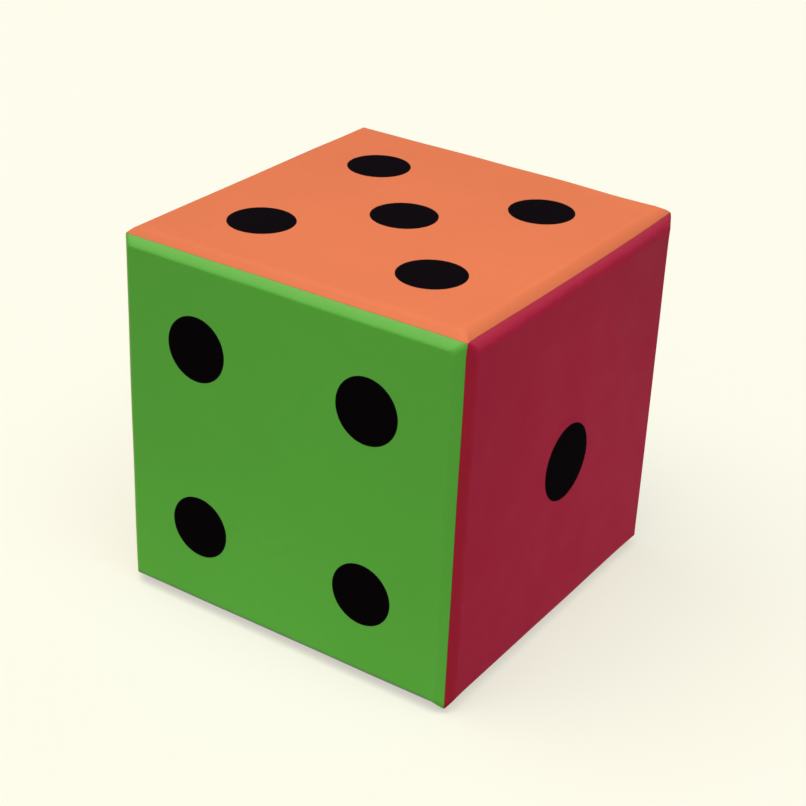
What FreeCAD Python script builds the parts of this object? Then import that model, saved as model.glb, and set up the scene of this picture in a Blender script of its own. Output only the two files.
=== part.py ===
import FreeCAD, Part
import math
import os

# Giant soft lawn die: a laminated foam cube in a sewn, wipe-clean cover.
# Millimetres, +Z up, origin at the centre of the bottom face.
# Faces: top (+Z) five, front (-Y) four, right (+X) one, back (+Y) three,
# left (-X) six, bottom (-Z) two, so opposite faces add up to seven.

V = FreeCAD.Vector
os.makedirs("parts", exist_ok=True)

# ---------------------------------------------------------------- dimensions
SIZE = 300.0            # cube, face to face, over the cover
HALF = SIZE / 2.0
BEVEL = 12.0            # leg of the bevel along every edge; the seam is at its middle
COVER_T = 1.0           # coated cover sheet
HEM_T = 1.0             # seam allowance folded flat under each half bevel
PLANKS = 6              # foam boards glued in a stack

PIP_D = 50.0            # pips on the two to six faces
ACE_D = 60.0            # the single large pip
PIP_PITCH = 150.0       # between outer pips on a face
PIP_T = 0.5             # welded pip disc, flush in its pocket
PIP_GAP = 0.1           # radial clearance of a disc in its pocket
ACE_DROP = 5.5          # the single pip sits a little below the middle of its face

GROOVE_W = 0.9          # half width of the groove where two folded edges meet
GROOVE_D = 0.6
THREAD = 0.6            # sewing thread line lying in the groove
THREAD_END = 141.5      # threads stop short of the corners

# zip in the upright back left edge, closed with the slider at its lower end
ZIP_GAP = 3.4           # half of the slot left between the two cover edges
ZIP_HALF = 126.0        # half length of the slot
TAPE_T = 0.6
TAPE_IN = 0.8           # inner edge of each tape from the middle
TAPE_HALF = 134.0
TAPE_WRAP = 4.0         # part of each tape that turns in under the flat face
CHAIN_HALF = 119.0      # half length of the toothed chain
CHAIN_T = 1.6
TOOTH_PITCH = 2.0
STOP_LEN = 2.6
SLIDER_LEN = 9.6
SLIDER_W = 3.05         # half width
TAB_LEN = 22.0
SLIDER_REST = -112.5    # slider centre along the edge, measured from mid height

ROOT2 = math.sqrt(2.0)
K_OUT = HALF + (HALF - BEVEL)                       # bevel plane a + b = K_OUT
INNER = HALF - COVER_T
K_IN = K_OUT - ROOT2 * (COVER_T + HEM_T)
SEAM = K_OUT / 2.0                                  # seam sits at a = b = SEAM


# ------------------------------------------------------------------- helpers
def poly_face(points):
    wire = Part.makePolygon(points + [points[0]])
    return Part.Face(wire)


def diamond(k, axis):
    """Long square bar |a| + |b| <= k along an axis."""
    e = {"x": V(1, 0, 0), "y": V(0, 1, 0), "z": V(0, 0, 1)}
    others = [e[c] for c in "xyz" if c != axis]
    a, b = others
    pts = [a * k, b * k, a * -k, b * -k]
    face = poly_face([p - e[axis] * 200 for p in pts])
    return face.extrude(e[axis] * 400)


def bevelled_cube(half, k):
    body = Part.makeBox(2 * half, 2 * half, 2 * half, V(-half, -half, -half))
    for axis in "xyz":
        body = body.common(diamond(k, axis))
    return body


def pyramid(normal, u, v):
    """Everything nearer to one face of the cube than to the other five."""
    d = 170.0
    base = [normal * d + u * s * d + v * t * d for s, t in ((1, 1), (-1, 1), (-1, -1), (1, -1))]
    apex = V(0, 0, 0)
    faces = [poly_face(base)]
    for i in range(4):
        faces.append(poly_face([base[i], base[(i + 1) % 4], apex]))
    shell = Part.makeShell(faces)
    solid = Part.makeSolid(shell)
    if solid.Volume < 0:
        solid.reverse()
    return solid


class Edge:
    """Local frame of a cube edge between faces a and b.

    u runs across the bevel towards face a, n out of the bevel, w along the edge.
    The zero point is the seam at mid length."""

    def __init__(self, a, b):
        self.a, self.b = a, b
        self.u = (a - b) * (1 / ROOT2)
        self.n = (a + b) * (1 / ROOT2)
        self.w = V(abs(a.cross(b).x), abs(a.cross(b).y), abs(a.cross(b).z))
        self.o = (a + b) * SEAM

    def at(self, u, n, w):
        return self.o + self.u * u + self.n * n + self.w * w

    def prism(self, section, w0, w1):
        """Section points are (u, n); the bar runs from w0 to w1."""
        return poly_face([self.at(u, n, w0) for u, n in section]).extrude(self.w * (w1 - w0))

    def across(self, outline, u0, u1):
        """Outline points are (w, n); the plate runs from u0 to u1."""
        return poly_face([self.at(u0, n, w) for w, n in outline]).extrude(self.u * (u1 - u0))

    def plan(self, outline, n0, n1):
        """Outline points are (w, u); the plate runs from n0 to n1."""
        return poly_face([self.at(u, n0, w) for w, u in outline]).extrude(self.n * (n1 - n0))

    def box(self, u0, u1, n0, n1, w0, w1):
        return self.prism([(u0, n0), (u1, n0), (u1, n1), (u0, n1)], w0, w1)


X, Y, Z = V(1, 0, 0), V(0, 1, 0), V(0, 0, 1)
FACES = {
    "top": (Z, X, Y),
    "bottom": (Z * -1, X, Y),
    "front": (Y * -1, X, Z),
    "back": (Y, X, Z),
    "right": (X, Y, Z),
    "left": (X * -1, Y, Z),
}
EDGES = [
    ("top", "front"), ("top", "right"), ("top", "back"), ("top", "left"),
    ("bottom", "front"), ("bottom", "right"), ("bottom", "back"), ("bottom", "left"),
    ("front", "right"), ("front", "left"), ("back", "right"), ("back", "left"),
]
ZIP_EDGE = ("back", "left")
edge = {names: Edge(FACES[names[0]][0], FACES[names[1]][0]) for names in EDGES}

nodes = {}


def put(name, shape):
    shape = shape.copy()
    shape.translate(V(0, 0, HALF))
    nodes[name] = shape


# ------------------------------------------------------------ pips on a face
h = PIP_PITCH / 2.0
LAYOUT = {
    # u and v of each pip along the two directions of its face; the discs are
    # placed by hand, so those on the three faces in front are up to 3 mm off the grid
    "top": {
        "front_left": (-h - 0.5, -h), "front_right": (h - 1.5, -h - 2.0), "middle": (-1.0, -0.5),
        "back_left": (-h + 0.5, h - 2.0), "back_right": (h - 1.0, h - 3.0),
    },
    "front": {
        "upper_left": (-h - 0.5, h - 0.5), "upper_right": (h - 2.0, h - 1.0),
        "lower_left": (-h + 0.5, -h + 1.0), "lower_right": (h - 1.5, -h + 1.0),
    },
    "right": {"large": (0.5, -ACE_DROP)},
    "back": {"upper": (-h, h), "middle": (0, 0), "lower": (h, -h)},
    "left": {
        "upper_front": (-h, h), "upper_back": (h, h),
        "middle_front": (-h, 0), "middle_back": (h, 0),
        "lower_front": (-h, -h), "lower_back": (h, -h),
    },
    "bottom": {"front_left": (-h, -h), "back_right": (h, h)},
}


def disc(face, uv, radius, depth0, depth1):
    """Cylinder on a face, from depth0 to depth1 below its outer surface."""
    normal, u, v = FACES[face]
    base = normal * (HALF - depth1) + u * uv[0] + v * uv[1]
    return Part.makeCylinder(radius, depth1 - depth0, base, normal)


# ------------------------------------------------------------- cover and core
outer = bevelled_cube(HALF, K_OUT)
core = bevelled_cube(INNER, K_IN)
shell = outer.cut(core)

# groove and thread channel of a sewn seam
groove = [
    (-GROOVE_W, 0.5), (-GROOVE_W, 0.0), (-THREAD / 2, -GROOVE_D), (-THREAD / 2, -GROOVE_D - THREAD),
    (THREAD / 2, -GROOVE_D - THREAD), (THREAD / 2, -GROOVE_D), (GROOVE_W, 0.0), (GROOVE_W, 0.5),
]

panels = {}
for face, (normal, u, v) in FACES.items():
    panels[face] = shell.common(pyramid(normal, u, v))

ze = edge[ZIP_EDGE]
for names, e in edge.items():
    for face in names:
        panels[face] = panels[face].cut(e.prism(groove, -147, 147))

# slot for the zip
slot = ze.box(-ZIP_GAP, ZIP_GAP, -6.0, 3.0, -ZIP_HALF, ZIP_HALF)
# line of stitching that holds each tape: a shallow channel in the half bevel
STITCH_U, STITCH_W, STITCH_D = 5.2, 0.5, 0.4
for face in ZIP_EDGE:
    side = 1 if face == ZIP_EDGE[0] else -1
    panels[face] = panels[face].cut(slot)
    channel = ze.box(side * STITCH_U - STITCH_W / 2, side * STITCH_U + STITCH_W / 2,
                     -STITCH_D, 1.0, -ZIP_HALF - 3, ZIP_HALF + 3)
    panels[face] = panels[face].cut(channel)
    put("zip_stitching_" + face, ze.box(side * STITCH_U - STITCH_W / 2, side * STITCH_U + STITCH_W / 2,
                                        -STITCH_D, -STITCH_D + 0.35, -ZIP_HALF - 3, ZIP_HALF + 3))

for face, pips in LAYOUT.items():
    for place, uv in pips.items():
        r = (ACE_D if face == "right" else PIP_D) / 2.0
        panels[face] = panels[face].cut(disc(face, uv, r + PIP_GAP, -1.0, PIP_T))
        put("pip_%s_%s" % (face, place), disc(face, uv, r, 0.0, PIP_T))

for face in FACES:
    put("cover_panel_" + face, panels[face])

# sewing threads
for names, e in edge.items():
    section = [(-THREAD / 2, -GROOVE_D - THREAD), (THREAD / 2, -GROOVE_D - THREAD),
               (THREAD / 2, -GROOVE_D), (-THREAD / 2, -GROOVE_D)]
    if names == ZIP_EDGE:
        runs = [(-THREAD_END, -TAPE_HALF - 0.4), (TAPE_HALF + 0.4, THREAD_END)]
    else:
        runs = [(-THREAD_END, THREAD_END)]
    bars = [e.prism(section, w0, w1) for w0, w1 in runs]
    put("seam_thread_%s_%s" % names, bars[0] if len(bars) == 1 else Part.makeCompound(bars))

# --------------------------------------------------------------- zip fastener
deep = -(COVER_T + HEM_T)                           # underside of the folded edge
flat_in = (INNER - SEAM) * ROOT2                    # u + n of a flat face's inner side


def tape_section(side):
    t = TAPE_T
    x_turn = flat_in - deep
    x_turn_in = flat_in - t * ROOT2 - (deep - t)
    d = TAPE_WRAP / ROOT2
    pts = [
        (TAPE_IN, deep), (x_turn, deep), (x_turn + d, deep - d),
        (x_turn + d - t / ROOT2, deep - d - t / ROOT2), (x_turn_in, deep - t), (TAPE_IN, deep - t),
    ]
    return [(side * p[0], p[1]) for p in pts]


tapes = {}
for face, side in ((ZIP_EDGE[0], 1), (ZIP_EDGE[1], -1)):
    tapes[face] = ze.prism(tape_section(side), -TAPE_HALF, TAPE_HALF)
    put("zip_tape_" + face, tapes[face])
    # toothed chain: one comb per side, teeth of the two sides alternate
    shift = 0.0 if side == 1 else TOOTH_PITCH / 2
    pts = [(-CHAIN_HALF, 2.2), (-CHAIN_HALF, 1.5)]
    w = -CHAIN_HALF + 0.5 + shift
    while w + 1.1 < CHAIN_HALF - 0.3:
        pts += [(w, 1.5), (w + 0.15, 0.5), (w + 0.95, 0.5), (w + 1.1, 1.5)]
        w += TOOTH_PITCH
    pts += [(CHAIN_HALF, 1.5), (CHAIN_HALF, 2.2)]
    put("zip_chain_" + face, ze.plan([(a, side * b) for a, b in pts], deep, deep + CHAIN_T))

# metal stops crimped on the tape edges at both ends of the chain
def stop(w0, w1):
    ring = ze.prism([(-2.3, deep), (-2.3, deep + 1.5), (-1.9, deep + 1.9), (1.9, deep + 1.9), (2.3, deep + 1.5), (2.3, deep)],
                    w0, w1)
    post = ze.box(-TAPE_IN, TAPE_IN, deep - TAPE_T, deep, w0, w1)
    back = ze.prism([(-2.3, deep - TAPE_T), (2.3, deep - TAPE_T), (1.9, deep - TAPE_T - 0.6), (-1.9, deep - TAPE_T - 0.6)],
                    w0, w1)
    return ring.fuse(post).fuse(back).removeSplitter()


put("zip_stop_lower", stop(-CHAIN_HALF - 0.3 - STOP_LEN, -CHAIN_HALF - 0.3))
put("zip_stop_upper", stop(CHAIN_HALF + 0.3, CHAIN_HALF + 0.3 + STOP_LEN))

# slider: two plates joined by a bridge at the nose, with side flanges and a crown
s0 = SLIDER_REST
L = SLIDER_LEN / 2
plan_outline = [
    (s0 - L, -1.5), (s0 - L + 0.5, -2.4), (s0 - L + 1.6, -SLIDER_W), (s0 + L - 3.2, -SLIDER_W),
    (s0 + L - 0.5, -2.75), (s0 + L, -2.3), (s0 + L, 2.3), (s0 + L - 0.5, 2.75),
    (s0 + L - 3.2, SLIDER_W), (s0 - L + 1.6, SLIDER_W), (s0 - L + 0.5, 2.4), (s0 - L, 1.5),
]
PLATE_LO = -0.25
PLATE_HI = 0.8
BACK_HI = deep - TAPE_T - 0.15
BACK_LO = BACK_HI - 1.0
slider = ze.plan(plan_outline, PLATE_LO, PLATE_HI)
slider = slider.fuse(ze.plan(plan_outline, BACK_LO, BACK_HI))
for side in (1, -1):
    slider = slider.fuse(ze.box(*sorted((side * 2.35, side * (SLIDER_W - 0.35))), deep + 0.12, PLATE_LO,
                                s0 - L + 1.6, s0 + L - 3.2))
    slider = slider.fuse(ze.box(*sorted((side * 2.35, side * (SLIDER_W - 0.35))), BACK_LO, BACK_HI,
                                s0 - L + 1.6, s0 + L - 3.2))
slider = slider.fuse(ze.box(-0.35, 0.35, BACK_LO, PLATE_HI, s0 - L + 0.4, s0 - L + 2.6))
AX_N = PLATE_HI + 1.0                               # pull tab pivot line
crown = ze.across([(s0 - 3.3, PLATE_HI - 0.4), (s0 - 3.3, PLATE_HI + 0.6), (s0 - 2.3, PLATE_HI + 2.2),
                   (s0 - 1.4, PLATE_HI + 2.7), (s0 + 1.4, PLATE_HI + 2.7), (s0 + 2.3, PLATE_HI + 2.2),
                   (s0 + 3.3, PLATE_HI + 0.6), (s0 + 3.3, PLATE_HI - 0.4)], -0.6, 0.6)
window = ze.across([(s0 - 1.9, PLATE_HI), (s0 - 1.9, PLATE_HI + 1.1), (s0 - 1.2, PLATE_HI + 1.8),
                    (s0 + 1.2, PLATE_HI + 1.8), (s0 + 1.9, PLATE_HI + 1.1), (s0 + 1.9, PLATE_HI)], -1.0, 1.0)
slider = slider.fuse(crown.cut(window)).removeSplitter()
put("zip_slider_body", slider)

# pull tab hanging from the crown
t0, t1 = AX_N - 0.5, AX_N + 0.5
tab_pts = [
    (s0, -2.2), (s0, 2.2), (s0 - 5.5, 2.2), (s0 - 7.5, 2.9), (s0 - TAB_LEN + 2.0, 2.9),
    (s0 - TAB_LEN, 1.6), (s0 - TAB_LEN, -1.6), (s0 - TAB_LEN + 2.0, -2.9), (s0 - 7.5, -2.9), (s0 - 5.5, -2.2),
]
tab = ze.plan(tab_pts, t0, t1)
eye = ze.plan([(s0 + 1.0, -1.05), (s0 + 1.0, 1.05), (s0 - 4.6, 1.05), (s0 - 4.6, -1.05)], t0 - 1, t1 + 1)
grip = Part.makeCylinder(1.5, 4, ze.at(0, t0 - 1, s0 - TAB_LEN + 4.6), ze.n)
bar = Part.makeCylinder(0.5, 4.4, ze.at(-2.2, AX_N, s0), ze.u)       # round bar the tab swings on
tab = tab.cut(eye).cut(grip).fuse(bar).removeSplitter()
put("zip_pull_tab", tab)

# ------------------------------------------------------------------ foam core
pocket = ze.box(-3.7, 3.7, -4.4, 3.0, -ZIP_HALF, ZIP_HALF)
core = core.cut(pocket)
for t in tapes.values():
    core = core.cut(t)
stop_room = ze.box(-2.6, 2.6, -3.6, 3.0, -TAPE_HALF, TAPE_HALF)
core = core.cut(stop_room)
plank = 2 * INNER / PLANKS
for i in range(PLANKS):
    slab = Part.makeBox(320, 320, plank, V(-160, -160, -INNER + i * plank))
    put("foam_plank_%d" % (i + 1), core.common(slab))

# ---------------------------------------------------------------------- write
for name, shape in sorted(nodes.items()):
    solids = shape.Solids
    assert solids and all(s.isValid() and s.Volume > 0 for s in solids), name
    out = solids[0] if len(solids) == 1 else Part.makeCompound(solids)
    out.exportStep("parts/%s.step" % name)
    print("%-28s %2d solid(s) %10.1f mm3" % (name, len(solids), sum(s.Volume for s in solids)))
print(len(nodes), "nodes")
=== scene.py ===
import math

import bmesh
import bpy
import numpy as np
from mathutils import Matrix, Vector


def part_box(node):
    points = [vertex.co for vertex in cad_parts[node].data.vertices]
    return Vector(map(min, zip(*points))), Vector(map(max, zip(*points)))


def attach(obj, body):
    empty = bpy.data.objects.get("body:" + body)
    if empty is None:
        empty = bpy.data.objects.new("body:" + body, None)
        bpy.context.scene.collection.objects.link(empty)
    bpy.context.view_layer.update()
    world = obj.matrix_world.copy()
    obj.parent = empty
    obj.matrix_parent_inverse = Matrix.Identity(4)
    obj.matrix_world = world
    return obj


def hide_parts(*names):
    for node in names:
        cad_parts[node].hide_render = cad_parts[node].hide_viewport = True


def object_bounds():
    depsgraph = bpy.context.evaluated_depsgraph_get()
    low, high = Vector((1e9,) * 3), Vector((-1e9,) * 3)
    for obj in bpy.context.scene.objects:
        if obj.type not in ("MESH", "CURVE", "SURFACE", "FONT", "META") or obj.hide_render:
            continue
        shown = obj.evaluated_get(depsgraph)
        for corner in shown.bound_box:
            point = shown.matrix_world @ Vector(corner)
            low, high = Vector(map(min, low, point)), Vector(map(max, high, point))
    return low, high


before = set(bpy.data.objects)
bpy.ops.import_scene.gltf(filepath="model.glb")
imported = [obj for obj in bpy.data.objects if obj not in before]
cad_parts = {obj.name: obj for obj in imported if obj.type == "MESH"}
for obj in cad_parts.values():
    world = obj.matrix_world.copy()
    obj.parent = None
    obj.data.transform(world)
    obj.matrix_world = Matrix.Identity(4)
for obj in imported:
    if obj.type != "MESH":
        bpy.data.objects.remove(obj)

# The looks of a giant soft lawn die: coated-sheet cover panels stretched over laminated foam.
# Shapes are worked out in millimetres from the cube's centre and go out in metres.
CAD_BOX = [[float(x) for x in p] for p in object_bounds()]
CENTRE = np.array([(a + b) / 2 for a, b in zip(*CAD_BOX)]) * 1000.0
HALF = (CAD_BOX[1][0] - CAD_BOX[0][0]) * 500.0          # 150
BEVEL = 12.0
FOLD = HALF - BEVEL                                     # where each flat face ends
SEAM = HALF - BEVEL / 2                                 # where two panels meet
R2 = math.sqrt(2.0)
COVER_T, HEM_N = 1.0, 2.0
ZIP_GAP, ZIP_HALF = 3.4, 126.0
X, Y, Z = np.eye(3)
FACES = {
    "top": (Z, X, Y), "bottom": (-Z, X, Y), "front": (-Y, X, Z),
    "back": (Y, X, Z), "right": (X, Y, Z), "left": (-X, Y, Z),
}
EDGES = [
    ("top", "front"), ("top", "right"), ("top", "back"), ("top", "left"),
    ("bottom", "front"), ("bottom", "right"), ("bottom", "back"), ("bottom", "left"),
    ("front", "right"), ("front", "left"), ("back", "right"), ("back", "left"),
]
ZIP_EDGE = ("back", "left")


# --------------------------------------------------------------------- camera
scene = bpy.context.scene
scene.view_settings.view_transform = "Standard"
scene.view_settings.look = "None"
scene.view_settings.exposure = 0.0
scene.view_settings.gamma = 1.0
RM = np.array([[0.827949, 0.559358, 0.040239], [0.291255, -0.367573, -0.88321], [-0.47924, 0.742973, -0.467248]])
EYE = np.array([2.20917, -3.39809, 2.12288]) * 0.3 + np.array([0, 0, 0.15])
cam = bpy.data.objects.new("camera", bpy.data.cameras.new("camera"))
scene.collection.objects.link(cam)
cam.data.sensor_width = 36.0
cam.data.lens = 1769.9 * 36.0 / 806.0
cam.data.clip_start, cam.data.clip_end = 0.02, 200.0
m = Matrix.Identity(4)
for i in range(3):
    m[i][0], m[i][1], m[i][2], m[i][3] = RM[0][i], -RM[1][i], -RM[2][i], EYE[i]
cam.matrix_world = m
scene.camera = cam


# ---------------------------------------------------------------- small maths
def smooth(t):
    t = np.clip(t, 0.0, 1.0)
    return t * t * (3 - 2 * t)


class Waves:
    """Smooth repeatable unevenness: a sum of sines in random directions."""

    def __init__(self, seed, length, count=7, dims=3):
        r = np.random.default_rng(seed)
        k = r.normal(size=(count, dims))
        k /= np.linalg.norm(k, axis=1)[:, None]
        self.k = k * (2 * math.pi / (length * r.uniform(0.7, 1.5, count)))[:, None]
        self.phase = r.uniform(0, 2 * math.pi, count)
        self.gain = r.uniform(0.5, 1.0, count)
        self.gain /= self.gain.sum() * 0.6

    def __call__(self, p):
        return (np.sin(np.asarray(p) @ self.k.T + self.phase) * self.gain).sum(axis=-1)


WOB = [Waves(s, 95.0) for s in (11, 12, 13)]
# where the body departs from a true cube: (centre of the nudge, reach in mm, shift in mm)
NUDGES = [
    ((144, 144, 144), 10.0, (0.2, 2.9, 0.1)),
    ((128, 146, 148), 17.0, (0.0, 0.0, 0.5)),
    ((-144, -144, 144), 9.0, (0.1, -0.3, 0.1)),
    ((144, -144, 144), 7.0, (0.6, 0.0, -0.3)),
    ((144, -144, -144), 9.0, (0.4, -0.8, -1.2)),
    ((-144, -144, -144), 12.0, (0.3, -0.3, -0.4)),
    ((144, 144, -144), 9.0, (0.5, 0.4, 0.0)),
]


def warp(p):
    """The soft body's own unevenness, the same for every piece that lies on it. Points are from the centre, in mm."""
    p = np.asarray(p, float)
    out = p.copy()
    above = smooth((p[..., 2] + HALF) / 6.0)                 # nothing moves below the plane it rests on
    for at, reach, shift in NUDGES:
        d2 = ((p - np.array(at, float)) ** 2).sum(axis=-1)
        out += np.array(shift) * (np.exp(-d2 / reach**2) * above)[..., None]
    # the top sheet is cut a little long at the back, so that bevel is narrower at its left end
    long_cut = 4.2 * (1 - smooth((p[..., 0] - 40.0) / 110.0)) * smooth((p[..., 0] + 145.5) / 7.5)
    long_cut *= np.clip((p[..., 2] - 138.0) / 6.0, 0, 1) * smooth((p[..., 1] - 90.0) / 48.0)
    out[..., 1] += long_cut
    # the front panel is a little tall, so its upper fold and seam ride high
    tall = 0.5 * smooth((p[..., 2] - 108.0) / 28.0) * smooth((-p[..., 1] - 135.0) / 7.0)
    out[..., 2] += tall
    # the near seam stands a little to the right, the seam between top and right sags in its middle
    out[..., 0] += 0.5 * smooth((p[..., 0] - 138.5) / 5.0) * smooth((-p[..., 1] - 138.5) / 5.0)
    sag = smooth((p[..., 0] - 137.5) / 6.0) * smooth((p[..., 2] - 137.5) / 6.0) * np.clip(1 - (p[..., 1] / SEAM) ** 2, 0, 1)
    out[..., 0] += 0.3 * sag
    out[..., 2] -= 0.5 * sag
    deep_part = smooth((p[..., 0] - 137.5) / 6.0) * smooth((p[..., 2] - 137.5) / 6.0) * np.clip(1 - ((p[..., 1] - 22.0) / 118.0) ** 2, 0, 1)
    out[..., 2] -= 0.55 * deep_part
    # the front panel is cut a little wide at its left, so that seam lies round towards the left side
    across = np.clip(1 - np.abs(p[..., 1] - p[..., 0]) / 12.5, 0, 1)
    wide_cut = 4.0 * across * smooth((-p[..., 0] - p[..., 1] - 262.0) / 14.0) * smooth((144.0 - np.abs(p[..., 2])) / 46.0)
    out[..., 0] -= wide_cut / R2
    out[..., 1] += wide_cut / R2
    # the seam at the back of the right side stands a little proud over its lower three quarters
    proud = smooth((p[..., 0] - 106.0) / 38.0) * smooth((p[..., 1] - 106.0) / 38.0) * smooth((112.0 - p[..., 2]) / 60.0) * above
    out[..., 0] += 0.3 * proud
    out[..., 1] += 0.6 * proud
    # the left side stands a little full
    full = smooth((-p[..., 0] - 110.0) / 34.0) * smooth((p[..., 2] + HALF) / 60.0)
    # gentle unevenness, none near the zip, which stays straight, and none up or down near the floor
    near_zip = np.hypot(p[..., 0] + SEAM, p[..., 1] - SEAM)
    free = smooth((near_zip - 24.0) / 50.0)
    out[..., 0] -= 0.4 * full * free
    w = np.stack([f(p) for f in WOB], axis=-1) * 0.22 * free[..., None]
    w[..., 2] *= smooth((p[..., 2] + HALF - 3.0) / 40.0)
    return out + w


def to_world(p):
    return (np.asarray(p) + CENTRE) * 0.001


def make(name, verts, faces, material, world=False, smooth_shade=True):
    mesh = bpy.data.meshes.new(name)
    v = np.asarray(verts) if world else to_world(verts)
    mesh.from_pydata(v.tolist(), [], [list(map(int, f)) for f in faces])
    mesh.validate()
    if smooth_shade:
        mesh.polygons.foreach_set("use_smooth", [True] * len(mesh.polygons))
    mesh.update()
    ob = bpy.data.objects.new(name, mesh)
    scene.collection.objects.link(ob)
    mesh.materials.append(material)
    return ob


def set_attr(ob, name, values):
    a = ob.data.attributes.new(name, "FLOAT", "POINT")
    a.data.foreach_set("value", np.asarray(values, np.float32))


# ------------------------------------------------------------------ materials
class Nodes:
    def __init__(self, name):
        self.mat = bpy.data.materials.new(name)
        self.mat.use_nodes = True
        self.t = self.mat.node_tree
        self.bsdf = next(n for n in self.t.nodes if n.type == "BSDF_PRINCIPLED")

    def new(self, kind, **props):
        n = self.t.nodes.new(kind)
        for k, v in props.items():
            if k.startswith("in_"):
                n.inputs[k[3:].replace("_", " ")].default_value = v
            else:
                setattr(n, k, v)
        return n

    def link(self, a, b):
        self.t.links.new(a, b)

    def coord(self):
        return self.new("ShaderNodeTexCoord").outputs["Object"]

    def noise(self, vec, scale, detail=2.0, rough=0.5, distortion=0.0):
        n = self.new("ShaderNodeTexNoise")
        n.inputs["Scale"].default_value = scale
        n.inputs["Detail"].default_value = detail
        n.inputs["Roughness"].default_value = rough
        n.inputs["Distortion"].default_value = distortion
        self.link(vec, n.inputs["Vector"])
        return n.outputs["Fac"]

    def voronoi(self, vec, scale, feature="F1"):
        n = self.new("ShaderNodeTexVoronoi", feature=feature)
        n.inputs["Scale"].default_value = scale
        self.link(vec, n.inputs["Vector"])
        return n.outputs["Distance"]

    def math(self, op, a, b=None, clamp=False):
        n = self.new("ShaderNodeMath", operation=op, use_clamp=clamp)
        for i, v in enumerate((a, b)):
            if v is None:
                continue
            if isinstance(v, (int, float)):
                n.inputs[i].default_value = v
            else:
                self.link(v, n.inputs[i])
        return n.outputs[0]

    def span(self, v, lo, hi, to_lo, to_hi):
        n = self.new("ShaderNodeMapRange")
        for key, val in (("From Min", lo), ("From Max", hi), ("To Min", to_lo), ("To Max", to_hi)):
            n.inputs[key].default_value = val
        self.link(v, n.inputs["Value"])
        return n.outputs["Result"]

    def mix(self, fac, a, b, blend="MIX"):
        n = self.new("ShaderNodeMix", data_type="RGBA", blend_type=blend)
        for key, v in (("Factor", fac), ("A", a), ("B", b)):
            s = [i for i in n.inputs if i.name == key and (i.type == "RGBA" or key == "Factor" and i.type == "VALUE")][0]
            if isinstance(v, (int, float)):
                s.default_value = v
            elif isinstance(v, (tuple, list)):
                s.default_value = (*v[:3], 1.0)
            else:
                self.link(v, s)
        return [o for o in n.outputs if o.type == "RGBA"][0]

    def bump(self, height, strength, distance, normal=None):
        n = self.new("ShaderNodeBump")
        n.inputs["Strength"].default_value = strength
        n.inputs["Distance"].default_value = distance
        self.link(height, n.inputs["Height"])
        if normal is not None:
            self.link(normal, n.inputs["Normal"])
        return n.outputs["Normal"]

    def attr(self, name):
        n = self.new("ShaderNodeAttribute", attribute_name=name)
        return n.outputs["Fac"]

    def out(self, color=None, rough=None, normal=None, spec=None, **plain):
        b = self.bsdf
        for key, v in (("Base Color", color), ("Roughness", rough), ("Normal", normal), ("Specular IOR Level", spec)):
            if v is None:
                continue
            if isinstance(v, (int, float)):
                b.inputs[key].default_value = v
            elif isinstance(v, (tuple, list)):
                b.inputs[key].default_value = (*v[:3], 1.0)
            else:
                self.link(v, b.inputs[key])
        for k, v in plain.items():
            b.inputs[k.replace("_", " ")].default_value = v
        return self.mat


def scaled(c, k):
    return tuple(min(1.0, x * k) for x in c[:3])


def coated_sheet(name, colour, spec=0.045, rough=0.58, seed=0.0, deep=None):
    """Matte PU-coated sheet: very fine leather grain, faint mottling, rubbed lighter along folds and seams, with
    painted sheen, painted shade and painted shading laid on from the mesh's attributes.
    """
    n = Nodes(name)
    co = n.coord()
    shift = n.new("ShaderNodeMapping")
    shift.inputs["Location"].default_value = (seed, seed * 0.7, -seed * 1.3)
    n.link(co, shift.inputs["Vector"])
    co = shift.outputs["Vector"]
    broad = n.noise(co, 9.0, 3.0, 0.55)
    mottle = n.noise(co, 160.0, 3.0, 0.6)
    fleck = n.noise(co, 1500.0, 2.0, 0.6)
    c = n.mix(n.span(broad, 0.3, 0.7, 0.0, 1.0), scaled(colour, 0.965), scaled(colour, 1.03))
    c = n.mix(n.span(mottle, 0.3, 0.7, 0.0, 0.5), c, scaled(colour, 0.955))
    c = n.mix(n.span(fleck, 0.35, 0.65, 0.0, 0.35), c, scaled(colour, 1.05))
    # rubbed edges: the coat is a little paler and smoother there
    wear = n.math("MULTIPLY", n.attr("wear"), n.span(n.noise(co, 55.0, 4.0, 0.65), 0.42, 0.62, 0.15, 1.0), clamp=True)
    pale = tuple(0.86 * x + 0.14 * 0.75 for x in colour)
    c = n.mix(n.math("MULTIPLY", wear, 0.12), c, pale)
    # painted sheen: a pale veil mixed in along the upper strips near the seams, standing in for a soft specular sheen
    c = n.mix(n.math("MULTIPLY", n.attr("painted_sheen"), 0.10), c, (0.72, 0.54, 0.47))
    # a little grime settled in the seam grooves; the same darker mix also lays painted shade along the strip down the
    # right panel's near side
    grime_and_shade_mask = n.attr("grime_and_shade")
    c = n.mix(n.math("MULTIPLY", grime_and_shade_mask, 0.5), c, deep or scaled(colour, 0.45))
    # painted shading: slow change of brightness across the sheet, standing in for how the light falls
    painted_shading_node = n.new("ShaderNodeHueSaturation")
    n.link(c, painted_shading_node.inputs["Color"])
    n.link(n.attr("painted_shading"), painted_shading_node.inputs["Value"])
    c = painted_shading_node.outputs["Color"]
    r = n.span(n.noise(co, 26.0, 4.0, 0.6), 0.25, 0.75, rough - 0.05, rough + 0.06)
    r = n.math("SUBTRACT", r, n.math("MULTIPLY", wear, 0.06), clamp=True)
    grain = n.math("ADD", n.math("MULTIPLY", n.voronoi(co, 1150.0, "SMOOTH_F1"), 0.7), n.math("MULTIPLY", n.noise(co, 900.0, 4.0, 0.6), 0.5))
    soft = n.noise(co, 70.0, 3.0, 0.5)
    nrm = n.bump(soft, 0.10, 0.0006)
    nrm = n.bump(grain, 0.22, 0.00012, nrm)
    return n.out(c, r, nrm, spec)


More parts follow.
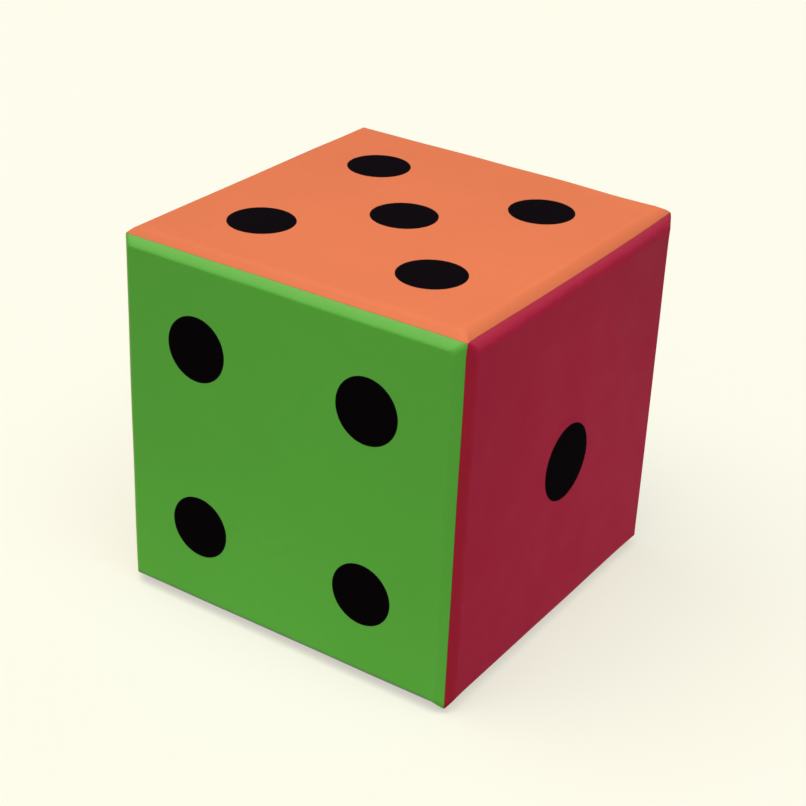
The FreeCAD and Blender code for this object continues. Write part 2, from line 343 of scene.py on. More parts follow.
def foam_stuff():
    n = Nodes("foam")
    co = n.coord()
    cells = n.voronoi(co, 700.0)
    big = n.noise(co, 40.0, 4.0, 0.6)
    c = n.mix(n.span(big, 0.3, 0.7, 0, 1), (0.80, 0.79, 0.74), (0.90, 0.89, 0.85))
    c = n.mix(n.span(cells, 0.0, 0.6, 0.45, 0.0), c, (0.62, 0.61, 0.57))
    nrm = n.bump(cells, 0.6, 0.0006)
    return n.out(c, 0.85, nrm, 0.25)


def thread_stuff():
    n = Nodes("sewing_thread")
    co = n.coord()
    fibre = n.noise(co, 2600.0, 3.0, 0.7, 1.2)
    c = n.mix(n.span(fibre, 0.3, 0.7, 0, 1), (0.012, 0.012, 0.013), (0.05, 0.05, 0.052))
    nrm = n.bump(fibre, 0.6, 0.0001)
    return n.out(c, n.span(fibre, 0.3, 0.7, 0.45, 0.65), nrm, 0.4)


def tape_stuff():
    """Woven polyester: two sets of fine ribs crossing at an angle, as in a herringbone."""
    n = Nodes("zip_tape_weave")
    co = n.coord()
    ribs = []
    for turn in (0.62, -0.62):
        mp = n.new("ShaderNodeMapping")
        mp.inputs["Rotation"].default_value = (turn, turn * 0.4, math.pi / 4)
        n.link(co, mp.inputs["Vector"])
        w = n.new("ShaderNodeTexWave", bands_direction="Z")
        w.inputs["Scale"].default_value = 420.0
        w.inputs["Distortion"].default_value = 0.6
        n.link(mp.outputs["Vector"], w.inputs["Vector"])
        ribs.append(w.outputs["Fac"])
    weave = n.math("MULTIPLY", ribs[0], ribs[1])
    c = n.mix(weave, (0.008, 0.008, 0.009), (0.045, 0.045, 0.048))
    c = n.mix(n.span(n.noise(co, 120.0, 3.0), 0.3, 0.7, 0, 0.4), c, (0.02, 0.02, 0.022))
    nrm = n.bump(weave, 0.8, 0.00025)
    return n.out(c, 0.75, nrm, 0.3)


def nylon_stuff():
    n = Nodes("zip_nylon")
    co = n.coord()
    v = n.noise(co, 300.0, 3.0)
    fine = n.noise(co, 4000.0, 2.0)
    c = n.mix(n.span(v, 0.3, 0.7, 0, 1), (0.018, 0.018, 0.02), (0.04, 0.04, 0.042))
    return n.out(c, n.span(fine, 0.3, 0.7, 0.28, 0.42), n.bump(fine, 0.15, 0.00005), 0.5)


def lacquer_stuff():
    """Black lacquered zinc, with bare metal showing where the edges have rubbed."""
    n = Nodes("zip_lacquer")
    co = n.coord()
    geo = n.new("ShaderNodeNewGeometry")
    edge = n.span(geo.outputs["Pointiness"], 0.53, 0.60, 0.0, 1.0)
    scuff = n.noise(co, 900.0, 5.0, 0.7)
    worn = n.math("MULTIPLY", edge, n.span(scuff, 0.45, 0.6, 0.0, 1.0), clamp=True)
    c = n.mix(n.span(n.noise(co, 350.0, 3.0), 0.3, 0.7, 0, 1), (0.018, 0.018, 0.02), (0.035, 0.035, 0.038))
    c = n.mix(worn, c, (0.42, 0.42, 0.43))
    n.link(n.math("MULTIPLY", worn, 0.9), n.bsdf.inputs["Metallic"])
    peel = n.noise(co, 1800.0, 2.0)
    return n.out(c, n.span(scuff, 0.3, 0.7, 0.26, 0.42), n.bump(peel, 0.12, 0.00004), 0.5)


COLOURS = {
    "top": (0.480, 0.1235, 0.0525), "front": (0.064, 0.264, 0.0302), "right": (0.272, 0.0040, 0.0300),
    "back": (0.014, 0.085, 0.36), "left": (0.58, 0.35, 0.010), "bottom": (0.12, 0.036, 0.22),
}
# darker colour that the right panel's seam grime and its painted shade strip are mixed towards
GRIME_AND_SHADE_COLOUR = {"right": (0.178, 0.0188, 0.0060)}
MAT = {k: coated_sheet("cover_sheet_" + k, c, seed=i * 0.37 + 0.11, deep=GRIME_AND_SHADE_COLOUR.get(k)) for i, (k, c) in enumerate(COLOURS.items())}
MAT_PIP = coated_sheet("pip_sheet", (0.0021, 0.0014, 0.0021), spec=0.002, rough=0.62, seed=3.1)
MAT_FOAM, MAT_THREAD, MAT_TAPE, MAT_NYLON, MAT_METAL = foam_stuff(), thread_stuff(), tape_stuff(), nylon_stuff(), lacquer_stuff()


# --------------------------------------------------------------- cover panels
# how softly each panel turns over at each side, in mm: crisp 2, very round 12.
# "near" and "far" are at the two ends of the side, so that a fold can open out along its length.
SOFT = {
    ("top", "front"): (6.5, 7.0), ("top", "right"): (7.5, 10.5), ("top", "back"): (5.0, 6.0), ("top", "left"): (4.0, 5.0),
    ("front", "top"): (1.8, 2.2), ("front", "right"): (2.6, 2.6), ("front", "left"): (3.0, 3.0), ("front", "bottom"): (3.0, 3.5),
    ("right", "top"): (8.5, 12.0), ("right", "front"): (2.4, 2.8), ("right", "back"): (4.0, 5.0), ("right", "bottom"): (3.0, 4.0),
    ("back", "top"): (3.0, 5.0), ("back", "right"): (3.5, 4.5), ("back", "left"): (2.0, 2.0), ("back", "bottom"): (3.0, 3.0),
    ("left", "top"): (4.0, 6.0), ("left", "front"): (3.0, 3.5), ("left", "back"): (2.0, 2.0), ("left", "bottom"): (3.0, 3.0),
    ("bottom", "front"): (3.0, 3.0), ("bottom", "right"): (3.0, 3.0), ("bottom", "back"): (3.0, 3.0), ("bottom", "left"): (3.0, 3.0),
}
CROWN = {"top": 0.8, "front": 0.7, "right": 0.8, "back": 0.9, "left": 0.8, "bottom": -0.3}
UNEVEN = {f: Waves(40 + i, 85.0, 6, 2) for i, f in enumerate(FACES)}


def side_face(face, axis, sign):
    """The face next to this one on its +U, -U, +V or -V side."""
    d = FACES[face][1 + axis] * sign
    return next(f for f, (n, _, _) in FACES.items() if np.allclose(n, d))


def drop(s, w):
    """How far a bevel has dropped below its flat face, at lateral distance s, for a fold of softness w."""
    a, b = FOLD - w / 2, FOLD + w / 2
    return np.where(s <= a, 0.0, np.where(s >= b, s - FOLD, (s - a) ** 2 / (2 * w)))


def softness(face, axis, sign, along):
    lo, hi = SOFT[(face, side_face(face, axis, sign))]
    return lo + (hi - lo) * smooth((along / SEAM + 1) / 2)


def depth_at(face, x, y):
    """Depth of the outer surface below the face plane, folds only."""
    x, y = np.asarray(x, float), np.asarray(y, float)
    d = np.zeros(np.broadcast(x, y).shape)
    for axis, lateral, along in ((0, x, y), (1, y, x)):
        for sign in (1, -1):
            d = np.maximum(d, drop(lateral * sign, softness(face, axis, sign, along)))
    return d


# how hard the foam pushes each sheet out
PUSH = {"top": 0.13, "front": 0.11, "right": 0.13, "back": 0.15, "left": 0.14}


def stretch_covers():
    """Cloth simulation of the stretched sheets: pinned along their folds, a trace of slack, pushed out by the foam."""
    n, side = 44, 2 * FOLD
    lin = np.linspace(-FOLD, FOLD, n + 1)
    gx, gy = np.meshgrid(lin, lin, indexing="ij")
    idx = np.arange((n + 1) ** 2).reshape(n + 1, n + 1)
    quads = np.stack([idx[:-1, :-1], idx[1:, :-1], idx[1:, 1:], idx[:-1, 1:]], axis=-1).reshape(-1, 4).tolist()
    sheets = {}
    for k, face in enumerate(f for f in FACES if f != "bottom"):
        mesh = bpy.data.meshes.new("blank_" + face)
        start = 0.02 * np.cos(gx * math.pi / side) * np.cos(gy * math.pi / side)
        mesh.from_pydata((np.stack([gx, gy, start], axis=-1).reshape(-1, 3) * 0.001).tolist(), [], quads)
        ob = bpy.data.objects.new("blank_" + face, mesh)
        ob.location = (k * 1.0, 30.0, 5.0)
        scene.collection.objects.link(ob)
        edge = (np.abs(np.abs(gx) - FOLD) < 1e-6) | (np.abs(np.abs(gy) - FOLD) < 1e-6)
        pin = ob.vertex_groups.new(name="pin")
        pin.add(idx[edge].tolist(), 1.0, "REPLACE")
        # the sheet is cut unevenly: a trace more slack in some places than in others
        slack = ob.vertex_groups.new(name="slack")
        amount = np.clip(0.55 + 0.45 * Waves(600 + k, 70.0, 7, 2)(np.stack([gx, gy], axis=-1)), 0.05, 1.0).reshape(-1)
        for i, a in enumerate(amount):
            slack.add([i], float(a), "REPLACE")
        c = ob.modifiers.new("cloth", "CLOTH")
        st = c.settings
        st.quality = 8
        st.mass = 0.12
        st.tension_stiffness = st.compression_stiffness = 1500.0
        st.shear_stiffness = 700.0
        st.bending_stiffness = 5.0
        st.tension_damping = st.compression_damping = st.shear_damping = 15.0
        st.air_damping = 3.0
        st.vertex_group_mass = "pin"
        st.vertex_group_shrink = "slack"
        st.shrink_min, st.shrink_max = 0.0, -0.0012
        st.use_pressure = True
        st.uniform_pressure_force = PUSH[face]
        st.effector_weights.gravity = 0.0
        c.collision_settings.use_collision = False
        c.collision_settings.use_self_collision = False
        c.point_cache.frame_start, c.point_cache.frame_end = 1, 24
        sheets[face] = ob
    for f in range(1, 25):
        scene.frame_set(f)
    out = {}
    dg = bpy.context.evaluated_depsgraph_get()
    for face, ob in sheets.items():
        ev = ob.evaluated_get(dg)
        co = np.empty(len(ev.data.vertices) * 3)
        ev.data.vertices.foreach_get("co", co)
        h = co.reshape(n + 1, n + 1, 3)[..., 2] * 1000
        out[face] = h
        mesh = ob.data
        bpy.data.objects.remove(ob)
        bpy.data.meshes.remove(mesh)
    scene.frame_set(1)
    return out


HEIGHT = {}
CAP = 1.3           # the most that a sheet may stand out, in mm
for name, h in stretch_covers().items():
    print("stretched", name, "highest", round(float(h.max()), 3), "lowest", round(float(h.min()), 3))
    HEIGHT[name] = np.clip(h, -0.3, CAP)


def sampled(grid, x, y):
    """Smooth reading of a grid of heights that spans one face from fold to fold."""
    n = grid.shape[0] - 1
    fx = np.clip((np.asarray(x, float) + FOLD) / (2 * FOLD), 0, 1) * n
    fy = np.clip((np.asarray(y, float) + FOLD) / (2 * FOLD), 0, 1) * n
    i, j = np.minimum(fx.astype(int), n - 1), np.minimum(fy.astype(int), n - 1)

    def cubic(t):
        return np.stack([-t**3 + 2 * t**2 - t, 3 * t**3 - 5 * t**2 + 2, -3 * t**3 + 4 * t**2 + t, t**3 - t**2], axis=0) / 2

    wx, wy = cubic(fx - i), cubic(fy - j)
    total = np.zeros(np.broadcast(fx, fy).shape)
    for a in range(4):
        for b in range(4):
            total = total + wx[a] * wy[b] * grid[np.clip(i + a - 1, 0, n), np.clip(j + b - 1, 0, n)]
    return total


def relief(face, x, y):
    """How far the middle of a face stands proud of, or below, its plane."""
    if face in HEIGHT:
        return sampled(HEIGHT[face], x, y)
    fx = np.clip(1 - (np.abs(x) / FOLD) ** 2.6, 0, 1)
    fy = np.clip(1 - (np.abs(y) / FOLD) ** 2.6, 0, 1)
    if face == "bottom":
        return CROWN[face] * smooth(np.minimum(FOLD - np.abs(x), FOLD - np.abs(y)) / 16.0)
    u = UNEVEN[face](np.stack([x, y], axis=-1))
    return (CROWN[face] + 0.22 * u) * fx * fy


def place(face, x, y, d):
    n, u, v = FACES[face]
    return n * (HALF - np.asarray(d))[..., None] + u * np.asarray(x)[..., None] + v * np.asarray(y)[..., None]


N_GRID = 72
F0 = 128.0
RINGS = np.array([130.0, 131.5, 132.8, 134.0, 135.0, 135.8, 136.4, 136.9, 137.3, 137.6, 137.9, 138.2, 138.6, 139.1,
                  139.7, 140.4, 141.1, 141.8, 142.5, 143.1, 143.5])
CREST_GAP = 0.02
CREST = {frozenset(("top", "front")): 0.2, frozenset(("top", "right")): 0.2, frozenset(("front", "right")): 0.35}


# painted shading: slow drift of brightness across a face, standing in for how the light falls on it: 1, u, v, u2, uv,
# v2 over its half width
PAINTED_DRIFT = {
    "top": (0.986, 0.024, 0.020, -0.007, 0.001, 0.015),
    "front": (0.996, 0.012, -0.030, -0.016, 0.004, 0.040),
    "right": (1.036, 0.017, -0.008, -0.040, -0.028, -0.030),
}


def painted_shading_of(face, p):
    """Painted shading: darker towards the back of the top and paler low down on the sides, standing in for how the
    light falls across the faces.
    """
    if face == "bottom":
        return np.ones(len(p))
    n, u, v = FACES[face]
    a, b = np.clip(p @ u / 126.0, -1.15, 1.15), np.clip(p @ v / 126.0, -1.15, 1.15)
    c = PAINTED_DRIFT.get(face, (1, 0, 0, 0, 0, 0))
    painted_drift = c[0] + c[1] * a + c[2] * b + c[3] * a * a + c[4] * a * b + c[5] * b * b
    if face == "top":
        painted_shading = painted_drift * (1.0 - 0.085 * smooth((p[:, 1] + 60.0) / 190.0))
        # painted light and shade: paler just before the fold on the right, darker in the seam there and along the front
        x = p[:, 0]
        painted_shading = painted_shading * (1 + 0.045 * smooth((x - 132.5) / 4.5) * (1 - smooth((x - 140.6) / 2.4)) - 0.03 * smooth((x - 141.8) / 2.0))
        return painted_shading * (1 - 0.02 * smooth((-p[:, 1] - 134.0) / 3.5))
    painted_shading = painted_drift * (1.0 + 0.06 * np.clip(-p[:, 2] / HALF, -1, 1))
    if face == "front":
        # painted shading: the upper strip is made as pale as the middle of the face
        painted_shading = painted_shading + (1.0 - painted_shading) * smooth((p[:, 2] - 138.0) / 3.0)
    if face == "right":
        painted_shading = painted_shading + (1.0 - painted_shading) * smooth((p[:, 2] - 135.0) / 7.0)
        # painted shade: the strip next to the near seam is darker from top to bottom, up to the mitre with the upper
        # strip
        near = smooth((-p[:, 1] - 136.5) / 3.5) * smooth((-p[:, 1] - p[:, 2] + 1.2) / 2.4)
        painted_shading = painted_shading + (0.90 - painted_shading) * near
    return painted_shading


def panel(face):
    n, u, v = FACES[face]
    lin = np.linspace(-F0, F0, N_GRID + 1)
    gx, gy = np.meshgrid(lin, lin, indexing="ij")
    # boundary of the grid, once round
    idx = np.arange((N_GRID + 1) ** 2).reshape(N_GRID + 1, N_GRID + 1)
    loop = np.concatenate([idx[:-1, 0], idx[-1, :-1], idx[:0:-1, -1], idx[0, :0:-1]])
    bx, by = gx.reshape(-1)[loop] / F0, gy.reshape(-1)[loop] / F0
    side = np.concatenate([np.full(N_GRID, 3), np.full(N_GRID, 0), np.full(N_GRID, 2), np.full(N_GRID, 1)])
    corner = (np.abs(np.abs(bx) - 1) < 1e-6) & (np.abs(np.abs(by) - 1) < 1e-6)
    horizontal = (side == 0) | (side == 1)          # lateral direction is U
    sgn = np.where(horizontal, np.sign(bx), np.sign(by))
    along_f = np.where(horizontal, by, bx)
    # how round the sheet turns in at each seam, easing from one side's figure to the next near the corners
    crest = np.full(len(loop), 0.35)
    for axis in (0, 1):
        for sg in (1, -1):
            on = (horizontal if axis == 0 else ~horizontal) & (sgn == sg) & ~corner
            own = CREST.get(frozenset((face, side_face(face, axis, sg))), 0.35)
            ease = smooth((1 - np.abs(along_f)) / 0.04)
            crest = np.where(on, 0.3 + (own - 0.3) * ease, crest)
    crest[corner] = 0.3
    # the slot for the zip
    gap = np.full(len(loop), CREST_GAP)
    if face in ZIP_EDGE:
        other = ZIP_EDGE[1] if face == ZIP_EDGE[0] else ZIP_EDGE[0]
        for axis in (0, 1):
            for s in (1, -1):
                if side_face(face, axis, s) == other:
                    on = (horizontal if axis == 0 else ~horizontal) & (sgn == s) & ~corner
                    opening = 1 - smooth((np.abs(along_f) * SEAM - (ZIP_HALF - 5.0)) / 6.0)
                    gap = np.where(on, CREST_GAP + ZIP_GAP * opening, gap)

    layers, wear, grime_and_shade, painted_sheen = [], [], [], []
    # the upper strips of the front and right panels get a painted sheen, and the strip down the right panel's near side
    # a painted shade
    painted_strip_sheen = {"front": 0.58, "right": 0.30}.get(face, 0.0)
    painted_sheen_mask = (side == 2) & ~corner & (painted_strip_sheen > 0)
    painted_shade_strip = (side == 1) & ~corner if face == "right" else np.zeros(len(loop), bool)

    def ring(s, d, along, w, g, extra=None):
        s, d = np.broadcast_to(s, bx.shape), np.broadcast_to(d, bx.shape)
        lat = s
        al = along_f * along
        x = np.where(corner, np.sign(bx) * s, np.where(horizontal, sgn * lat, al))
        y = np.where(corner, np.sign(by) * s, np.where(horizontal, al, sgn * lat))
        layers.append((x, y, d))
        wear.append(np.broadcast_to(w, bx.shape))
        # grime in the seam grooves, and painted shade on the right panel's near strip out to the seam
        grime_and_shade.append(np.maximum(0.5 * g, np.where(painted_shade_strip & (s > FOLD), 0.5, 0.0)))
        # painted sheen on the upper strips out to the seam
        painted_sheen.append(np.where(painted_sheen_mask & (s > FOLD), painted_strip_sheen, 0.0))
        return x, y

    # outer surface: field, fold, half bevel
    field_d = depth_at(face, gx, gy).reshape(-1) - relief(face, gx, gy).reshape(-1)
    pucker = Waves(70 + list(FACES).index(face), 17.0, 6, 3)
    s_end = SEAM - (crest + gap) / R2
    s_nom_end = SEAM - 0.4
    for s in RINGS:
        lat = np.where(s > FOLD, FOLD + (s - FOLD) * (s_end - FOLD) / (s_nom_end - FOLD), s)
        x = np.where(horizontal, sgn * lat, along_f * s)
        y = np.where(horizontal, along_f * s, sgn * lat)
        x, y = np.where(corner, np.sign(bx) * lat, x), np.where(corner, np.sign(by) * lat, y)
        d = depth_at(face, x, y) - relief(face, x, y)
        strip = smooth((s - FOLD) / 2.0) * smooth((SEAM - s) / 1.5)
        if strip > 0:
            d = d - 0.035 * strip * pucker(place(face, x, y, d)) * R2
        # a line of stitching presses the cover down beside the zip
        e = (SEAM - lat) * R2
        line = np.where(gap > 1.0, np.exp(-(((e - 5.2) / 0.55) ** 2)), 0.0)
        d = d + 0.16 * line
        layers.append((x, y, d))
        wear.append(np.full(bx.shape, math.exp(-(((s - FOLD) / 1.6) ** 2)) * (0.12 if face == "top" else 0.5)))
        # grime beside the zip stitching, and painted shade on the right panel's near strip
        grime_and_shade.append(np.maximum(0.15 * line, np.where(painted_shade_strip, 0.5 * float(smooth((s - 137.0) / 1.6)), 0.0)))
        # painted sheen on the upper strips, growing towards the seam
        painted_sheen.append(np.where(painted_sheen_mask, float(np.clip((s - 137.6) / 5.5, 0, 1)) ** 0.8 * painted_strip_sheen, 0.0))
    # crest where the sheet turns in to the seam
    for phi in (0.0, 25.0, 50.0, 72.0, 90.0):
        f = math.radians(phi)
        s = s_end + (crest * math.sin(f) - crest * (1 - math.cos(f))) / R2
        d = BEVEL / 2 - (crest + gap) / R2 + (crest * math.sin(f) + crest * (1 - math.cos(f))) / R2
        ring(s, d, SEAM - 0.35 / R2, max(0.0, math.cos(f)) * 0.9, (phi / 90.0) ** 2)
    for depth in (1.2, HEM_N):
        s = SEAM - gap / R2 - depth / R2
        d = BEVEL / 2 - gap / R2 + depth / R2
        ring(s, d, SEAM - depth / R2 * 0.6, 0.0, 1.0)
    # underside of the folded allowance, then of the flat face
    e_in = 9.07
    s_in = SEAM - e_in / R2 - HEM_N / R2
    ring(s_in, 0.0, s_in, 0.0, 0.0)
    x, y, _ = layers[-1]
    layers[-1] = (x, y, np.maximum(COVER_T, depth_at(face, x, y) + 0.7) - relief(face, x, y))

    pts = [place(face, gx.reshape(-1), gy.reshape(-1), field_d)]
    pts += [place(face, x, y, d) for x, y, d in layers]
    inner_d = np.maximum(COVER_T, depth_at(face, gx, gy).reshape(-1) + 0.8) - relief(face, gx, gy).reshape(-1)
    pts.append(place(face, gx.reshape(-1), gy.reshape(-1), inner_d))
    P = np.concatenate(pts)
    n_field, n_loop = (N_GRID + 1) ** 2, len(loop)
    ring_start = [n_field + i * n_loop for i in range(len(layers))]
    inner_start = n_field + len(layers) * n_loop
    quads = []
    a, b, c, d = idx[:-1, :-1], idx[1:, :-1], idx[1:, 1:], idx[:-1, 1:]
    quads.append(np.stack([a, b, c, d], axis=-1).reshape(-1, 4))
    prev = loop
    nxt = np.roll(np.arange(n_loop), -1)
    for st in ring_start:
        cur = st + np.arange(n_loop)
        quads.append(np.stack([prev, cur, cur[nxt], prev[nxt]], axis=-1))
        prev = cur
    inner_loop = inner_start + loop
    quads.append(np.stack([prev, inner_loop, inner_loop[nxt], prev[nxt]], axis=-1))
    quads.append(np.stack([a, d, c, b], axis=-1).reshape(-1, 4) + inner_start)
    Q = np.concatenate(quads)
    if np.dot(np.cross(u, v), n) < 0:
        Q = Q[:, ::-1]
    ob = make("cover_%s" % face, warp(P), Q, MAT[face])
    set_attr(ob, "wear", np.concatenate([np.zeros(n_field)] + wear + [np.zeros(n_field)]))
    set_attr(ob, "grime_and_shade", np.concatenate([np.zeros(n_field)] + grime_and_shade + [np.zeros(n_field)]))
    set_attr(ob, "painted_sheen", np.concatenate([np.zeros(n_field)] + painted_sheen + [np.zeros(n_field)]))
    # painted shading across the panel
    set_attr(ob, "painted_shading", painted_shading_of(face, P))
    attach(ob, "die")
    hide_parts("cover_panel_" + face)
    return ob


panels = {f: panel(f) for f in FACES}


# ----------------------------------------------------------------------- pips
SPREAD = {"top_back_left": 0.002, "top_back_right": 0.010, "top_middle": 0.024, "top_front_left": 0.021, "top_front_right": 0.024,
          "front_upper_left": 0.031, "front_upper_right": 0.032, "front_lower_left": 0.012, "front_lower_right": -0.006,
          "right_large": 0.022}
SHIFT = {"right_large": (-2.0, 1.0)}


def pip(node):
    face = node.split("_")[1]
    n, u, v = FACES[face]
    lo, hi = (np.array([float(x) for x in p]) * 1000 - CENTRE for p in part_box(node))
    mid = (lo + hi) / 2
    size = np.sort(hi - lo)[-1]
    # the weld presses each disc out over the rim of its pocket, by a little more or less from disc to disc
    r = size / 2 * (1 + SPREAD.get(node[4:], 0.018))
    shift = SHIFT.get(node[4:], (0.0, 0.0))
    cx, cy = float(mid @ u) + shift[0], float(mid @ v) + shift[1]
    prof = [(0.15, 0.11), (0.32, 0.11), (0.48, 0.11), (0.62, 0.11), (0.74, 0.11), (0.84, 0.11)]
    prof = [(a * r, h) for a, h in prof]
    # welded rim: a shallow pressed line just inside the edge
    prof += [(r - 3.2, 0.11), (r - 2.6, 0.10), (r - 2.1, 0.055), (r - 1.6, 0.03), (r - 1.1, 0.055), (r - 0.7, 0.095),
             (r - 0.35, 0.10), (r - 0.12, 0.07), (r, 0.01), (r, -0.10), (r - 0.4, -0.40)]
    seg = 128
    ang = np.linspace(0, 2 * math.pi, seg, endpoint=False)
    pts, wear = [np.array([[cx, cy]])], [0.0]
    hs = [np.array([0.11])]
    for rr, h in prof:
        pts.append(np.stack([cx + rr * np.cos(ang), cy + rr * np.sin(ang)], axis=-1))
        hs.append(np.full(seg, h))
    pts.append(np.array([[cx, cy]]))
    hs.append(np.array([-0.40]))
    XY, H = np.concatenate(pts), np.concatenate(hs)
    P = place(face, XY[:, 0], XY[:, 1], -relief(face, XY[:, 0], XY[:, 1]) - H)
    k = np.arange(seg)
    k1 = (k + 1) % seg
    F = [[0, 1 + a, 1 + b] for a, b in zip(k, k1)]
    for i in range(len(prof) - 1):
        s0, s1 = 1 + i * seg, 1 + (i + 1) * seg
        F += [[s0 + a, s1 + a, s1 + b, s0 + b] for a, b in zip(k, k1)]
    last, s0 = len(P) - 1, 1 + (len(prof) - 1) * seg
    F += [[s0 + a, last, s0 + b] for a, b in zip(k, k1)]
    if np.dot(np.cross(u, v), n) < 0:
        F = [f[::-1] for f in F]
    ob = make("disc_" + node[4:], warp(P), F, MAT_PIP)
    rr = np.hypot(XY[:, 0] - cx, XY[:, 1] - cy)
    set_attr(ob, "wear", np.exp(-(((rr - r) / 0.5) ** 2)) * 0.5)
    # painted light: the black discs are brightened on top and darkened on the sides, lit and shaded copies of one black
    set_attr(ob, "painted_shading", np.full(len(P), {"top": 1.35, "front": 0.75, "right": 0.8}.get(face, 1.0)))
    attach(ob, "die")
    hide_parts(node)
    return ob


pips = {n: pip(n) for n in sorted(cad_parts) if n.startswith("pip_")}


# ---------------------------------------------------------------- seam frames
class Edge:
    def __init__(self, names):
        a, b = FACES[names[0]][0], FACES[names[1]][0]
        self.u, self.n = (a - b) / R2, (a + b) / R2
        self.w = np.abs(np.cross(a, b))
        self.o = (a + b) * SEAM

    def at(self, u, n, w):
        u, n, w = np.broadcast_arrays(u, n, w)
        return self.o + self.u * u[..., None] + self.n * n[..., None] + self.w * w[..., None]


def tube(path, radius, sides=6, closed_ends=True, normal=None):
    """Tube mesh along a polyline, ends closed. Returns verts and faces."""
    path = np.asarray(path, float)
    t = np.gradient(path, axis=0)
    t /= np.linalg.norm(t, axis=1)[:, None]
    ref = np.array(normal if normal is not None else (0.0, 0.0, 1.0), float)
    a = np.cross(t, ref)
    bad = np.linalg.norm(a, axis=1) < 1e-3
    a[bad] = np.cross(t[bad], np.array([1.0, 0.3, 0.1]))
    a /= np.linalg.norm(a, axis=1)[:, None]
    b = np.cross(t, a)
    radius = np.broadcast_to(radius, len(path))
    ang = np.linspace(0, 2 * math.pi, sides, endpoint=False)
    ringp = path[:, None] + radius[:, None, None] * (np.cos(ang)[None, :, None] * a[:, None] + np.sin(ang)[None, :, None] * b[:, None])
    verts = ringp.reshape(-1, 3)
    F = []
    k = np.arange(sides)
    k1 = (k + 1) % sides
    for i in range(len(path) - 1):
        s0, s1 = i * sides, (i + 1) * sides
        F.append(np.stack([s0 + k, s0 + k1, s1 + k1, s1 + k], axis=-1))
    F = np.concatenate(F).tolist()
    F.append([int(x) for x in k[::-1]])
    F.append([int(x) for x in (len(path) - 1) * sides + k])
    return verts, F


def gather(parts):
    V, F, n = [], [], 0
    for v, f in parts:
        V.append(v)
        F += [[i + n for i in q] for q in f]
        n += len(v)
    return np.concatenate(V), F


# sewing thread: one short bar across the groove per stitch
def seam_thread(names):
    e = Edge(names)
    rng = np.random.default_rng(200 + EDGES.index(names))
    runs = [(-140.5, 140.5)] if names != ZIP_EDGE else [(-140.5, -134.6), (134.6, 140.5)]
    parts = []
    for w0, w1 in runs:
        for w in np.arange(w0 + 0.8, w1 - 0.8, 3.2):
            j = rng.normal(0, 0.12, 3)
            lean = 0.35 + 0.1 * j[0]
            t = np.array([-1.0, -0.92, -0.55, 0.0, 0.55, 0.92, 1.0])
            path = e.at(t * 0.75, -0.78 - 0.35 * np.abs(t) ** 3, w + j[1] + t * lean)
            parts.append(tube(path, np.array([0.06, 0.17, 0.2, 0.21, 0.2, 0.17, 0.06]), 6, normal=e.n))
    V, F = gather(parts)
    ob = make("stitches_%s_%s" % names, warp(V), F, MAT_THREAD)
    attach(ob, "die")
    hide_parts("seam_thread_%s_%s" % names)


for names in EDGES:
    seam_thread(names)


# ------------------------------------------------------------------------ zip
ze = Edge(ZIP_EDGE)
TAPE_T, TAPE_IN, TAPE_HALF, TAPE_WRAP = 0.6, 0.55, 134.0, 4.0
CHAIN_HALF, PITCH = 119.0, 2.0
deep = -HEM_N
flat_in = (HALF - COVER_T - SEAM) * R2


def sweep(section, ws, wave=None):
    """Closed section swept along the zip's edge; section is (u, n) pairs."""
    sec = np.array(section)
    m = len(sec)
    V = []
    for w in ws:
        du = wave(w) if wave else 0.0
        V.append(ze.at(sec[:, 0], sec[:, 1] + du, np.full(m, w)))
    V = np.concatenate(V)
    k = np.arange(m)
    k1 = (k + 1) % m
    F = []
    for i in range(len(ws) - 1):
        F.append(np.stack([i * m + k, i * m + k1, (i + 1) * m + k1, (i + 1) * m + k], axis=-1))
    F = np.concatenate(F).tolist()
    F.append([int(x) for x in k[::-1]])
    F.append([int(x) for x in (len(ws) - 1) * m + k])
    return V, F


def outward(V, F):
    """Turns the faces so that the closed mesh has its normals outside."""
    vol = 0.0
    for q in F:
        for i in range(1, len(q) - 1):
            a, b, c = V[q[0]], V[q[i]], V[q[i + 1]]
            vol += float(np.dot(a, np.cross(b, c)))
    return F if vol > 0 else [q[::-1] for q in F]


